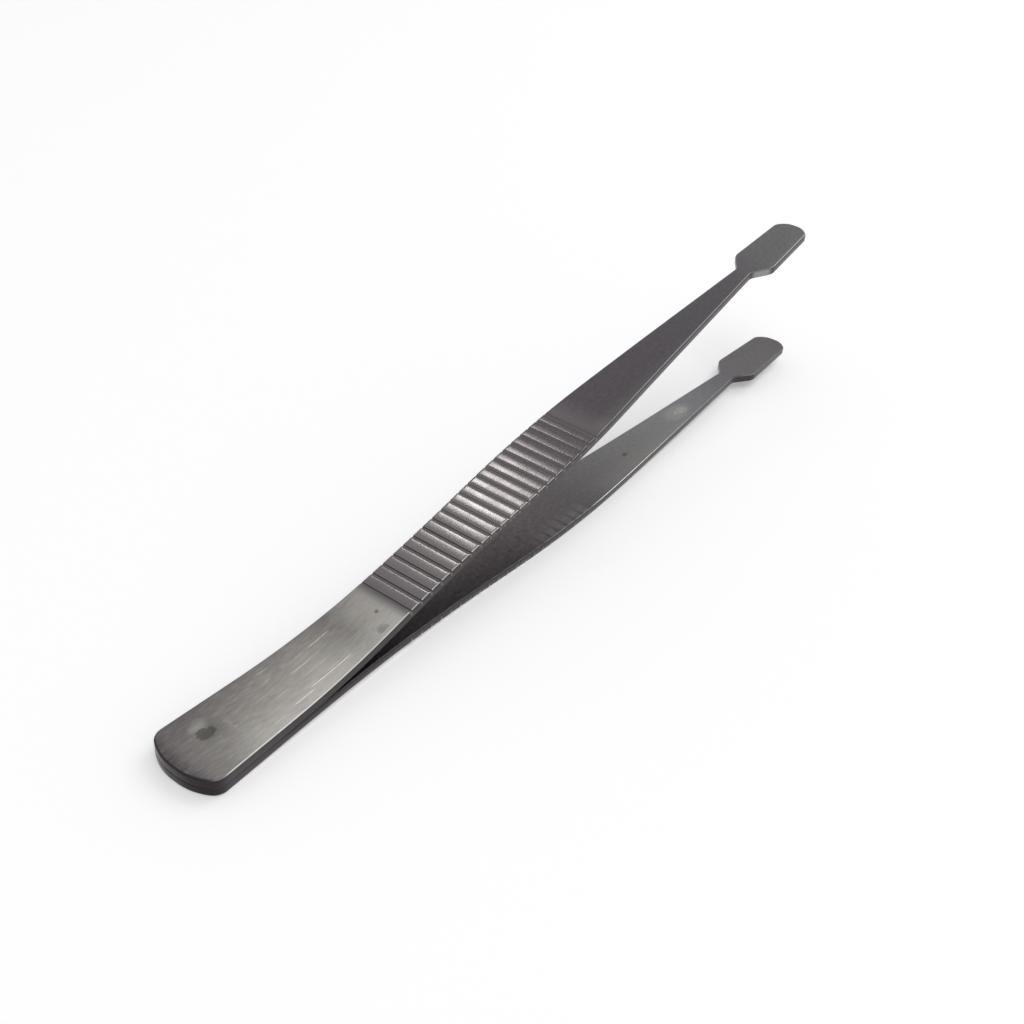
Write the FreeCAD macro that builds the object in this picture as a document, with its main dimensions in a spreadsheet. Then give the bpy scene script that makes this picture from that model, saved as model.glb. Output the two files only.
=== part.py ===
import FreeCAD, Part
import Sketcher
import math
import os

# Thumb forceps with spade tips, lying on the lower blade.
# Two sheet steel blades are spot welded face to face at the heel and spring apart
# towards the tips. Each blade is a bent strip cut to one outline, with half-round
# grip grooves across its outer face. Lengths are in mm and angles in degrees.
# Lengthwise places are measured along the blade from the heel end.

doc = FreeCAD.newDocument("thumb_forceps")
sheet = doc.addObject("Spreadsheet::Sheet", "Sizes")

SIZES = [
    ("overall_length", 115.0),
    ("blade_thickness", 1.0),
    ("outer_edge_break", 0.2),
    ("inner_edge_break", 0.12),
    # side profile: flat heel pad, spring bend, long reverse bow under the fingers, straight front
    ("pad_length", 11.0),
    ("bend_length", 16.0),
    ("straight_length", 1.0),
    ("bow_length", 55.0),
    ("upper_spread_angle", 11.0),
    ("upper_bow_angle", 2.8),
    ("lower_spread_angle", 3.8),
    ("lower_bow_angle", 4.0),
    # heel outline
    ("heel_width", 8.74),
    ("heel_corner_side", 2.41),
    ("heel_corner_back", 1.39),
    ("heel_end_radius", 6.2),
    ("heel_corner_radius", 1.6),
    # waist and grip swell
    ("waist_place", 33.0),
    ("waist_width", 6.42),
    ("waist_radius", 250.0),
    ("swell_place", 57.0),
    ("swell_width", 8.1),
    ("swell_radius", 200.0),
    # neck and spade tip
    ("spade_length", 14.35),
    ("shoulder_length", 2.65),
    ("neck_width", 2.18),
    ("neck_radius", 1.5),
    ("spade_width", 5.8),
    ("shoulder_radius", 2.0),
    ("tip_width", 4.86),
    ("tip_face_width", 2.3),
    ("tip_corner_back", 1.25),
    ("tip_corner_radius", 1.3),
    ("tip_end_radius", 2.2),
    # grip grooves
    ("groove_place", 28.35),
    ("groove_pitch", 1.63),
    ("groove_count", 21),
    ("groove_width", 0.5),
    ("groove_depth", 0.22),
    # spot weld mark
    ("weld_place", 5.0),
    ("weld_offset", 0.95),
    ("weld_width", 3.0),
    ("weld_depth", 0.12),
    ("pit_width", 1.5),
    ("pit_floor_width", 0.96),
    ("pit_depth", 0.3),
]
for row, (alias, size) in enumerate(SIZES, start=1):
    sheet.set(f"A{row}", alias)
    sheet.set(f"B{row}", str(size))
    sheet.setAlias(f"B{row}", alias)
doc.recompute()

# stock left round the outline before it is cut, and how far a cut starts above its face
TRIM = 2.0
PROUD = 0.3
# most of a side that a rounded corner may take up
FILL_RATIO = 0.95
# half the turn from the heel's square end to the tapering flank, with a little to spare
HALF_CORNER = "47deg"
# where the bow under the fingers starts and ends
BOW_START = "(<pad_length> + <bend_length> + <straight_length>)"
BOW_END = f"({BOW_START} + <bow_length>)"
# in degrees, how far a broad face may lean from level, and a cut edge from upright
FACE_LEAN_ANGLE = 25.0
WALL_LEAN_ANGLE = 30.0


def sized(formula):
    """Writes the sheet's name before each size that a formula uses."""
    for alias, _ in sorted(SIZES, key=lambda entry: -len(entry[0])):
        formula = formula.replace(f"<{alias}>", f"Sizes.{alias}")
    return formula


def number(formula):
    """The present value of a formula on the sheet's sizes."""
    result = sheet.evalExpression(sized(formula))
    return float(getattr(result, "Value", result))


def drive(feature, slot, formula):
    feature.setExpression(slot, sized(formula))


def plane_of(body, role):
    return next(plane for plane in body.Origin.OriginFeatures if plane.Role == role)


def new_sketch(body, name, role):
    sketch = body.newObject("Sketcher::SketchObject", name)
    sketch.AttachmentSupport = [(plane_of(body, role), "")]
    sketch.MapMode = "FlatFace"
    return sketch


def pin(sketch, geometry, end, label, across, up):
    """Places one point of a sketch by its two distances from the sketch's origin."""
    for kind, side, formula in (("DistanceX", "x", across), ("DistanceY", "y", up)):
        value = number(formula)
        if abs(value) < 1e-9:
            axis = -2 if kind == "DistanceX" else -1
            sketch.addConstraint(Sketcher.Constraint("PointOnObject", geometry, end, axis))
            continue
        if value > 0:
            rule = Sketcher.Constraint(kind, -1, 1, geometry, end, value)
        else:
            rule = Sketcher.Constraint(kind, geometry, end, -1, 1, -value)
            formula = f"-({formula})"
        index = sketch.addConstraint(rule)
        sketch.renameConstraint(index, f"{label}_{side}")
        drive(sketch, f"Constraints.{label}_{side}", formula)


def rounded_outline(sketch, corners):
    """Draws a closed outline of straight sides whose corners are square or rounded.

    Each corner is (label, across, up, radius), and a radius of None leaves it square.
    """
    spots = [FreeCAD.Vector(number(across), number(up), 0) for _, across, up, _ in corners]
    count = len(corners)
    leave, arrive, arcs, left_turns = [], [], [], []
    for i, (_, _, _, radius) in enumerate(corners):
        back = (spots[i - 1] - spots[i]).normalize()
        ahead = (spots[(i + 1) % count] - spots[i]).normalize()
        left_turn = ahead.cross(back).z > 0
        left_turns.append(left_turn)
        if radius is None:
            arrive.append(spots[i])
            leave.append(spots[i])
            arcs.append(None)
            continue
        half = back.getAngle(ahead) / 2
        arrive.append(spots[i] + back * (number(radius) / math.tan(half)))
        leave.append(spots[i] + ahead * (number(radius) / math.tan(half)))
        centre = spots[i] + (back + ahead).normalize() * (number(radius) / math.sin(half))
        first, last = (arrive[i], leave[i]) if left_turn else (leave[i], arrive[i])
        start = math.atan2(first.y - centre.y, first.x - centre.x)
        sweep = (math.atan2(last.y - centre.y, last.x - centre.x) - start) % (2 * math.pi)
        circle = Part.Circle(centre, FreeCAD.Vector(0, 0, 1), number(radius))
        arcs.append(Part.ArcOfCircle(circle, start, start + sweep))
    sides = []
    for i in range(count):
        side = Part.LineSegment(leave[i], arrive[(i + 1) % count])
        sides.append(sketch.addGeometry(side, False))
    for i, (label, across, up, radius) in enumerate(corners):
        before, after = sides[i - 1], sides[i]
        if radius is None:
            sketch.addConstraint(Sketcher.Constraint("Coincident", before, 2, after, 1))
            pin(sketch, after, 1, label, across, up)
            continue
        arc = sketch.addGeometry(arcs[i], False)
        first, last = (1, 2) if left_turns[i] else (2, 1)
        sketch.addConstraint(Sketcher.Constraint("Tangent", before, 2, arc, first))
        sketch.addConstraint(Sketcher.Constraint("Tangent", arc, last, after, 1))
        index = sketch.addConstraint(Sketcher.Constraint("Radius", arc, number(radius)))
        sketch.renameConstraint(index, f"{label}_radius")
        drive(sketch, f"Constraints.{label}_radius", radius)
        corner = sketch.addGeometry(Part.Point(spots[i]), True)
        sketch.addConstraint(Sketcher.Constraint("PointOnObject", corner, 1, before))
        sketch.addConstraint(Sketcher.Constraint("PointOnObject", corner, 1, after))
        pin(sketch, corner, 1, label, across, up)


class Bend:
    """Formulas for one blade's side profile. side is 1 above the middle plane and -1 below."""

    def __init__(self, spread, bow, side):
        self.side = side
        self.spread = f"{spread} * 1deg"
        self.half_bow = f"{bow} * 0.5deg"
        self.lean = f"({spread} - {bow}) * 1deg"
        self.bend_radius = f"<bend_length> * 180 / (pi * {spread})"
        self.bow_radius = f"<bow_length> * 180 / (pi * {bow})"
        bend_run = f"{self.bend_radius} * tan({self.spread} / 2)"
        self.bow_run = f"{self.bow_radius} * tan({self.half_bow})"
        self.bend_x = f"<pad_length> + {bend_run}"
        middle_run = f"({bend_run} + <straight_length> + {self.bow_run})"
        self.bow_x = f"{self.bend_x} + {middle_run} * cos({self.spread})"
        self.bow_z = f"{middle_run} * sin({self.spread})"
        front = f"(<overall_length> - {BOW_END} + {self.bow_run} + {TRIM})"
        self.end_x = f"{self.bow_x} + {front} * cos({self.lean})"
        self.end_z = f"{self.bow_z} + {front} * sin({self.lean})"
        self.centre_x = (
            f"{self.bend_x} + ({bend_run} + <straight_length>) * cos({self.spread})"
            f" + {self.bow_radius} * sin({self.spread})"
        )
        self.centre_z = (
            f"({bend_run} + <straight_length>) * sin({self.spread}) - {self.bow_radius} * cos({self.spread})"
        )

    def up(self, formula):
        return formula if self.side > 0 else f"-({formula})"

    def heading(self, place):
        """The angle to the heel pad at a place in the bow."""
        return f"({self.spread} - ({place} - {BOW_START}) / ({self.bow_radius}) * 1rad)"

    def along(self, place):
        """The X place of a spot on the inner face, from its place along the blade past the bend."""
        in_bow = f"{self.centre_x} - {self.bow_radius} * sin({self.heading(place)})"
        past_bow = f"{self.bow_x} + ({self.bow_run} + {place} - {BOW_END}) * cos({self.lean})"
        return f"({place} < {BOW_END} ? {in_bow} : {past_bow})"


def draw_side(sketch, bend):
    """The strip seen from the side: inner face from heel to tip, then outer face back."""
    t = "<blade_thickness>"
    middle = f"({bend.spread} - {bend.half_bow})"
    offset = f"{t} / cos({bend.half_bow})"
    rounded_outline(sketch, [
        ("inner_heel", f"-{TRIM}", "0", None),
        ("inner_bend", bend.bend_x, "0", bend.bend_radius),
        ("inner_bow", bend.bow_x, bend.up(bend.bow_z), bend.bow_radius),
        ("inner_tip", bend.end_x, bend.up(bend.end_z), None),
        (
            "outer_tip",
            f"{bend.end_x} - {t} * sin({bend.lean})",
            bend.up(f"{bend.end_z} + {t} * cos({bend.lean})"),
            None,
        ),
        (
            "outer_bow",
            f"{bend.bow_x} - {offset} * sin({middle})",
            bend.up(f"{bend.bow_z} + {offset} * cos({middle})"),
            f"{bend.bow_radius} + {t}",
        ),
        (
            "outer_bend",
            f"{bend.bend_x} - {t} * tan({bend.spread} / 2)",
            bend.up(t),
            f"{bend.bend_radius} - {t}",
        ),
        ("outer_heel", f"-{TRIM}", bend.up(t), None),
    ])


def draw_trim(sketch, bend):
    """Half of what is cut away round the blade: heel, flank, waist, grip swell, neck and spade.

    A corner's radius is limited where its sides get too short for it.
    """
    tip = bend.along("<overall_length>")
    neck = bend.along("(<overall_length> - <spade_length>)")
    shoulder = bend.along("(<overall_length> - <spade_length> + <shoulder_length>)")
    tip_corner = bend.along("(<overall_length> - <tip_corner_back>)")
    outside = f"max(<heel_width>; <swell_width>) / 2 + {TRIM}"
    end_half = "(<heel_width> / 2 - <heel_corner_side>)"
    end_turn = "atan(<heel_corner_back> / <heel_corner_side>)"
    end_radius = f"min(<heel_end_radius>; {FILL_RATIO} * {end_half} / tan({end_turn} / 2))"
    slant = f"(<heel_corner_side> / cos({end_turn}) - {end_radius} * tan({end_turn} / 2))"
    corner_limit = f"{FILL_RATIO} * {slant} / tan({HALF_CORNER} - {end_turn} / 2)"
    corner_radius = f"min(<heel_corner_radius>; {corner_limit})"
    flank_slope = "atan((<heel_width> - <waist_width>) / 2 / (<waist_place> - <heel_corner_back>))"
    grip_run = "(<swell_place> - <waist_place>)"
    grip_slope = f"atan((<swell_width> - <waist_width>) / 2 / {grip_run})"
    front_run = "(<overall_length> - <spade_length> - <swell_place>)"
    front_slope = f"atan((<swell_width> - <neck_width>) / 2 / {front_run})"
    waist_limit = f"{FILL_RATIO} / 2 * {grip_run} / tan(({flank_slope} + {grip_slope}) / 2)"
    waist_radius = f"min(<waist_radius>; {waist_limit})"
    swell_limit = f"{FILL_RATIO} / 2 * {grip_run} / tan(({grip_slope} + {front_slope}) / 2)"
    swell_radius = f"min(<swell_radius>; {swell_limit})"
    rounded_outline(sketch, [
        ("heel_middle", "0", "0", None),
        ("heel_end", "0", end_half, end_radius),
        ("heel_corner", "<heel_corner_back>", "<heel_width> / 2", corner_radius),
        ("waist", bend.along("<waist_place>"), "<waist_width> / 2", waist_radius),
        ("swell", bend.along("<swell_place>"), "<swell_width> / 2", swell_radius),
        ("neck", neck, "<neck_width> / 2", "<neck_radius>"),
        ("shoulder", shoulder, "<spade_width> / 2", "<shoulder_radius>"),
        ("tip_corner", tip_corner, "<tip_width> / 2", "<tip_corner_radius>"),
        ("tip_end", tip, "<tip_face_width> / 2", "<tip_end_radius>"),
        ("tip_middle", tip, "0", None),
        ("ahead", f"{tip} + 2 * {TRIM}", "0", None),
        ("ahead_side", f"{tip} + 2 * {TRIM}", outside, None),
        ("behind_side", f"-2 * {TRIM}", outside, None),
        ("behind", f"-2 * {TRIM}", "0", None),
    ])


def draw_groove(sketch, bend):
    """A half-round groove across the outer face, with the centre of the bow as origin."""
    deep = "<groove_depth>"
    wide = "<groove_width> / 2"
    face = f"({bend.bow_radius} + <blade_thickness>)"
    left = FreeCAD.Vector(-number(wide), number(face), 0)
    right = FreeCAD.Vector(number(wide), number(face), 0)
    floor = FreeCAD.Vector(0, number(f"{face} - {deep}"), 0)
    above = FreeCAD.Vector(0, PROUD, 0)
    arc = sketch.addGeometry(Part.Arc(left, floor, right), False)
    walls = [
        Part.LineSegment(right, right + above),
        Part.LineSegment(right + above, left + above),
        Part.LineSegment(left + above, left),
    ]
    wall_ids = [sketch.addGeometry(wall, False) for wall in walls]
    start_is_left = sketch.Geometry[arc].StartPoint.x < 0
    left_end, right_end = (1, 2) if start_is_left else (2, 1)
    sketch.addConstraint(Sketcher.Constraint("Coincident", arc, right_end, wall_ids[0], 1))
    sketch.addConstraint(Sketcher.Constraint("Coincident", wall_ids[0], 2, wall_ids[1], 1))
    sketch.addConstraint(Sketcher.Constraint("Coincident", wall_ids[1], 2, wall_ids[2], 1))
    sketch.addConstraint(Sketcher.Constraint("Coincident", arc, left_end, wall_ids[2], 2))
    pin(sketch, wall_ids[0], 1, "rim_right", wide, face)
    pin(sketch, wall_ids[2], 2, "rim_left", f"-({wide})", face)
    pin(sketch, wall_ids[1], 1, "top_right", wide, f"{face} + {PROUD}")
    pin(sketch, wall_ids[1], 2, "top_left", f"-({wide})", f"{face} + {PROUD}")
    radius = f"(({wide}) * ({wide}) + {deep} * {deep}) / (2 * {deep})"
    index = sketch.addConstraint(Sketcher.Constraint("Radius", arc, number(radius)))
    sketch.renameConstraint(index, "groove_radius")
    drive(sketch, "Constraints.groove_radius", radius)


def draw_weld(sketch, bend):
    """Half the section of the spot weld mark: a shallow dish with a deeper pit in it."""
    t = "<blade_thickness>"
    rounded_outline(sketch, [
        ("pit_middle", "0", bend.up(f"{t} - <pit_depth>"), None),
        ("pit_side", "<pit_floor_width> / 2", bend.up(f"{t} - <pit_depth>"), None),
        ("pit_rim", "<pit_width> / 2", bend.up(f"{t} - <weld_depth>"), None),
        ("dish_rim", "<weld_width> / 2", bend.up(t), None),
        ("dish_top", "<weld_width> / 2", bend.up(f"{t} + {PROUD}"), None),
        ("dish_middle", "0", bend.up(f"{t} + {PROUD}"), None),
    ])


def rim_edges(shape, facing):
    """Names of the edges between the broad face on one side and the cut edge round the blade."""
    names = []
    outward = FreeCAD.Vector(0, 0, facing)
    for index, edge in enumerate(shape.Edges, start=1):
        leans = []
        for face in shape.ancestorsOfType(edge, Part.Face):
            u0, u1, v0, v1 = face.ParameterRange
            normal = face.normalAt((u0 + u1) / 2, (v0 + v1) / 2)
            leans.append(math.degrees(normal.getAngle(outward)))
        if min(leans) < FACE_LEAN_ANGLE and abs(max(leans) - 90) < WALL_LEAN_ANGLE:
            names.append(f"Edge{index}")
    return names


def break_rim(body, name, base, facing, size):
    """Takes the sharp corner off the rim of one broad face."""
    rim = body.newObject("PartDesign::Chamfer", name)
    rim.Base = (base, rim_edges(base.Shape, facing))
    drive(rim, "Size", size)
    doc.recompute()
    return rim


def make_blade(name, spread, bow, side):
    bend = Bend(spread, bow, side)
    body = doc.addObject("PartDesign::Body", name)
    body.Label = name

    side_view = new_sketch(body, f"{name}_side_view", "XZ_Plane")
    draw_side(side_view, bend)
    strip = body.newObject("PartDesign::Pad", f"{name}_strip")
    strip.Profile = side_view
    strip.Midplane = True
    drive(strip, "Length", f"max(<heel_width>; <swell_width>) + {TRIM}")
    doc.recompute()

    plan_view = new_sketch(body, f"{name}_plan_view", "XY_Plane")
    draw_trim(plan_view, bend)
    trim = body.newObject("PartDesign::Pocket", f"{name}_trim")
    trim.Profile = plan_view
    trim.Type = "ThroughAll"
    trim.Midplane = True
    doc.recompute()
    both_sides = body.newObject("PartDesign::Mirrored", f"{name}_both_sides")
    both_sides.Originals = [trim]
    both_sides.MirrorPlane = (plane_of(body, "XZ_Plane"), [""])
    body.Tip = both_sides
    doc.recompute()
    outer_rim = break_rim(body, f"{name}_outer_rim", both_sides, side, "<outer_edge_break>")
    break_rim(body, f"{name}_inner_rim", outer_rim, -side, "<inner_edge_break>")

    groove_view = new_sketch(body, f"{name}_groove_view", "XZ_Plane")
    drive(groove_view, "AttachmentOffset.Base.x", bend.centre_x)
    drive(groove_view, "AttachmentOffset.Base.y", bend.up(bend.centre_z))
    turn = bend.heading("<groove_place>")
    drive(groove_view, "AttachmentOffset.Rotation.Angle", turn if side > 0 else f"180deg - {turn}")
    doc.recompute()
    draw_groove(groove_view, bend)
    groove = body.newObject("PartDesign::Pocket", f"{name}_groove")
    groove.Profile = groove_view
    groove.Type = "ThroughAll"
    groove.Midplane = True
    doc.recompute()
    grip = body.newObject("PartDesign::PolarPattern", f"{name}_grip")
    grip.Originals = [groove]
    grip.Axis = (groove_view, ["N_Axis"])
    grip.Reversed = side > 0
    drive(grip, "Occurrences", "<groove_count>")
    sweep = f"(<groove_count> - 1) * <groove_pitch> / ({bend.bow_radius} + <blade_thickness>) * 1rad"
    drive(grip, "Angle", sweep)
    body.Tip = grip
    doc.recompute()

    weld_view = new_sketch(body, f"{name}_weld_view", "XZ_Plane")
    drive(weld_view, "AttachmentOffset.Base.x", "<weld_place>")
    drive(weld_view, "AttachmentOffset.Base.z", "-<weld_offset>")
    doc.recompute()
    draw_weld(weld_view, bend)
    weld = body.newObject("PartDesign::Groove", f"{name}_weld_mark")
    weld.Profile = weld_view
    weld.ReferenceAxis = (weld_view, ["V_Axis"])
    weld.Angle = 360
    body.Tip = weld
    doc.recompute()
    return body, bend


upper_blade, upper_bend = make_blade("upper_blade", "<upper_spread_angle>", "<upper_bow_angle>", 1)
lower_blade, lower_bend = make_blade("lower_blade", "<lower_spread_angle>", "<lower_bow_angle>", -1)
blades = [upper_blade, lower_blade]


def lie_down():
    """Lays the pair on the heel's end edge and the bulge of the lower grip, centred on the origin."""
    t = number("<blade_thickness>")
    edge = number("<outer_edge_break>")
    bulge = number(lower_bend.bow_radius) + t
    ahead = number(lower_bend.centre_x) - edge
    above = t - number(lower_bend.centre_z)
    slope = math.atan2(above, ahead) - math.asin(bulge / math.hypot(ahead, above))
    turned = FreeCAD.Rotation(FreeCAD.Vector(0, 1, 0), math.degrees(slope))
    for blade in blades:
        blade.Placement = FreeCAD.Placement(FreeCAD.Vector(0, 0, 0), turned)
    doc.recompute()
    box = Part.makeCompound([blade.Shape for blade in blades]).optimalBoundingBox(True, False)
    middle = (box.XMin + box.XMax) / 2
    lift = t * math.cos(slope) + edge * math.sin(slope)
    for blade in blades:
        blade.Placement = FreeCAD.Placement(FreeCAD.Vector(-middle, 0, lift), turned)
    doc.recompute()


lie_down()


def check_model():
    """Stops if a feature failed or a blade isn't one sound solid."""
    for feature in doc.Objects:
        state = [word for word in feature.State if word in ("Invalid", "Error")]
        if state:
            raise RuntimeError(f"{feature.Name} is {state}")
    for blade in blades:
        shape = blade.Shape
        if shape.isNull() or not shape.isValid() or len(shape.Solids) != 1:
            raise RuntimeError(f"{blade.Label} is not one valid solid")


check_model()
for blade in blades:
    box = blade.Shape.optimalBoundingBox(True, False)
    print(blade.Label, round(blade.Shape.Volume, 3), "mm3", box)

os.makedirs("parts", exist_ok=True)
for blade in blades:
    blade.Shape.exportStep(f"parts/{blade.Label}.step")
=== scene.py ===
# %% [markdown]
# Thumb forceps with spade tips, dressed for a photograph.
#
# The object is two strips of sheet steel, spot welded face to face at the heel. Each strip is
# stamped to one outline, cut across with finger grooves, and bent so that the tips spring apart.
# The measured model gives its place and its overall size. This script makes the same strips again
# with rounded edges, crowned ridges between the grooves and a worn, brushed finish.

# %% Load the measured model
import math

import bpy
import numpy as np
from mathutils import Matrix, Vector


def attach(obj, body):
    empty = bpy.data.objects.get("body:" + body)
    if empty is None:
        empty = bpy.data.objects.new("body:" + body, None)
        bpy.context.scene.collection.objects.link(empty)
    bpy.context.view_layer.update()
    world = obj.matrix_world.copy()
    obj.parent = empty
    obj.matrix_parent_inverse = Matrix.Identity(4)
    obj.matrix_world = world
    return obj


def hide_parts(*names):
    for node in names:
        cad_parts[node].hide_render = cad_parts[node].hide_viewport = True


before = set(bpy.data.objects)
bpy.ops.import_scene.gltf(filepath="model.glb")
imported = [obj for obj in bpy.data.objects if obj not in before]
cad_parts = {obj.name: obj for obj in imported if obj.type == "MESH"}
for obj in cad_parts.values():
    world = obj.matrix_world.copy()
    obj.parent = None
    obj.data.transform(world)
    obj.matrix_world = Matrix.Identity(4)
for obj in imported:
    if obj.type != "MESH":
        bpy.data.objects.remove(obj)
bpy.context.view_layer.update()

MM = 0.001
print("nodes", sorted(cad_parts))

# %% [markdown]
# Every size of the strip is a real one, in millimetres, measured along the steel from the heel end.
# The names are those that a maker would use on a drawing: pad, bend, bow, waist, swell, neck, spade.

# %% Sizes of a blade
LENGTH = 115.0
THICKNESS = 1.0
OUTER_ROUNDING = 0.2
INNER_ROUNDING = 0.12
PAD_END = 11.0
BEND_END = 27.0
BOW_START = 28.0
BOW_END = 83.0
UPPER_SPREAD, UPPER_BOW = 11.0, 2.8
LOWER_SPREAD, LOWER_BOW = 3.8, 4.0

# each corner of the half outline: place along the blade, half width, radius of its rounding
HEEL_WIDTH, HEEL_CORNER_SIDE, HEEL_CORNER_BACK = 8.74, 2.41, 1.39
SPADE_START = LENGTH - 14.35
SPADE_SHOULDER = SPADE_START + 2.65
OUTLINE = [
    (0.0, HEEL_WIDTH / 2 - HEEL_CORNER_SIDE, 6.2),
    (HEEL_CORNER_BACK, HEEL_WIDTH / 2, 1.6),
    (33.0, 6.42 / 2, 250.0),
    (57.0, 8.1 / 2, 200.0),
    (SPADE_START, 2.18 / 2, 1.5),
    (SPADE_SHOULDER, 5.8 / 2, 2.0),
    (LENGTH - 1.25, 4.86 / 2, 1.3),
    (LENGTH, 2.3 / 2, 2.2),
]
GROOVE_PLACE, GROOVE_PITCH, GROOVE_COUNT = 28.22, 1.613, 21
GROOVE_WIDTH, GROOVE_DEPTH = 0.52, 0.18
WELD_PLACE, WELD_OFFSET = 5.0, 0.95
WELD_REACH, WELD_CORE = 1.8, 0.9
WELD_DEPTH = 0.06
print("blade", LENGTH, "mm long, grooves from", GROOVE_PLACE, "to",
      round(GROOVE_PLACE + GROOVE_PITCH * (GROOVE_COUNT - 1), 2), "mm")

# %% [markdown]
# The outline is a chain of straight sides with round corners. An arc that touches both sides of a
# corner starts and ends at the same distance from it, radius divided by the tangent of half the
# corner. Sampling each arc by its angle and each side by a step gives points that lie on the real
# curve, with their outward direction, which the rounding of the edge needs later.


# %% Walk along half the outline
ARC_STEP = 0.25
ARC_TURN = 0.12
SMALLEST_GAP = 0.02
END_CLEARANCE = 0.001


def corner_arc(before, corner, after, radius):
    """Points of a rounded corner, each with its outward direction (left of the way of travel)."""
    back = (before - corner) / np.linalg.norm(before - corner)
    ahead = (after - corner) / np.linalg.norm(after - corner)
    half = math.acos(np.clip(back @ ahead, -1, 1)) / 2
    bisector = (back + ahead) / np.linalg.norm(back + ahead)
    centre = corner + bisector * radius / math.sin(half)
    start = corner + back * radius / math.tan(half) - centre
    end = corner + ahead * radius / math.tan(half) - centre
    turn = math.atan2(start[0] * end[1] - start[1] * end[0], start @ end)
    steps = max(3, int(abs(turn) * radius / ARC_STEP), int(abs(turn) / ARC_TURN))
    points, outward = [], []
    for k in range(steps + 1):
        angle = turn * k / steps
        c, s = math.cos(angle), math.sin(angle)
        spoke = np.array([c * start[0] - s * start[1], s * start[0] + c * start[1]])
        points.append(centre + spoke)
        outward.append(spoke / radius * (-1 if turn > 0 else 1))
    return points, outward


def half_outline():
    """Half of the outline from the heel's flat end to the tip's, with outward directions."""
    corners = [np.array(c[:2]) for c in OUTLINE]
    chain = [np.array([0.0, 0.0])] + corners + [np.array([LENGTH, 0.0])]
    points, outward = [], []
    for k, (_, _, radius) in enumerate(OUTLINE, start=1):
        arc, spokes = corner_arc(chain[k - 1], chain[k], chain[k + 1], radius)
        points += arc
        outward += spokes
    return np.array(points), np.array(outward)


def fill_straights(points, outward, extra_places):
    """Adds points on the long sides, at even steps and at the places that the grooves need."""
    places = np.unique(np.round(np.concatenate([points[:, 0], extra_places]), 4))
    first, last = points[0, 0], points[-1, 0]
    full, ways = [], []
    for place in places[(places > first + END_CLEARANCE) & (places < last - END_CLEARANCE)]:
        if full and place - full[-1][0] < SMALLEST_GAP:
            continue
        half = np.interp(place, points[:, 0], points[:, 1])
        way = [np.interp(place, points[:, 0], outward[:, i]) for i in (0, 1)]
        full.append([place, half])
        ways.append(np.array(way) / np.linalg.norm(way))
    full = np.concatenate([points[:1], full, points[-1:]])
    return full, np.concatenate([outward[:1], ways, outward[-1:]])


# rows stand close where the steel is cut or dished, and apart where it is plain
GROOVE_ROWS = np.array([
    0.0, 0.05, 0.09, 0.12, 0.15, 0.18, 0.21, 0.24, 0.27, 0.3, 0.34, 0.39, 0.45, 0.55, 0.68, 0.8,
])
PLAIN_ROWS = np.arange(0.5, LENGTH, 0.8)
WELD_ROWS = np.arange(WELD_PLACE - WELD_REACH, WELD_PLACE + WELD_REACH, 0.12)
groove_centres = GROOVE_PLACE + GROOVE_PITCH * np.arange(GROOVE_COUNT)
groove_rows = [centre + sign * GROOVE_ROWS for centre in groove_centres for sign in (-1, 1)]
rim_points, rim_ways = half_outline()
rim_points, rim_ways = fill_straights(
    rim_points, rim_ways, np.concatenate(groove_rows + [WELD_ROWS, PLAIN_ROWS])
)
widest = 2 * rim_points[:, 1].max()
print("outline points on each side", len(rim_points), "widest", round(widest, 3), "mm")

# %% [markdown]
# The flat blank is a stack of closed loops round the outline. Each loop has the same number of
# points, so neighbours join with quads: the outer face's rim, a rounded edge, the wall, the inner
# rounded edge and the inner face's rim. The two broad faces are filled by rows from one side to the
# other, which keeps every quad square to the blade, and lets the grooves run straight across.
# Each vertex stores its place, its distance across and its depth, so that a finish can follow the
# steel through every bend. It also stores how far out on the cut edge it is, from 0 to 1.


# %% Make the flat blank
ACROSS = 44
ROUND_STEPS = 5
OUTER_COLUMNS = np.linspace(-1, 1, ACROSS + 1)
INNER_COLUMNS = np.array([-1.0, -0.95, 0.95, 1.0])
WALL_DEPTHS = (0.4, 0.65)


def loop_at(inset):
    """The closed outline, moved in by a distance: heel end, one side, tip end, other side."""
    side = rim_points - rim_ways * inset
    heel = np.stack([np.full(ACROSS + 1, side[0, 0]), OUTER_COLUMNS * side[0, 1]], 1)
    tip = np.stack([np.full(ACROSS + 1, side[-1, 0]), -OUTER_COLUMNS * side[-1, 1]], 1)
    mirrored = side[1:-1][::-1] * [1, -1]
    return np.concatenate([heel, side[1:-1], tip, mirrored])


def rounded_section():
    """Inset and depth of each loop, from the outer face over both rounded edges to the inner face."""
    angles = [math.radians(90 * k / ROUND_STEPS) for k in range(ROUND_STEPS + 1)]
    outer = [(OUTER_ROUNDING * (1 - math.sin(a)), OUTER_ROUNDING * (1 - math.cos(a))) for a in angles]
    middle = [(0.0, share * THICKNESS) for share in WALL_DEPTHS]
    inner = [
        (INNER_ROUNDING * (1 - math.sin(a)), THICKNESS - INNER_ROUNDING * (1 - math.cos(a)))
        for a in reversed(angles)
    ]
    return outer + middle + inner


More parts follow.
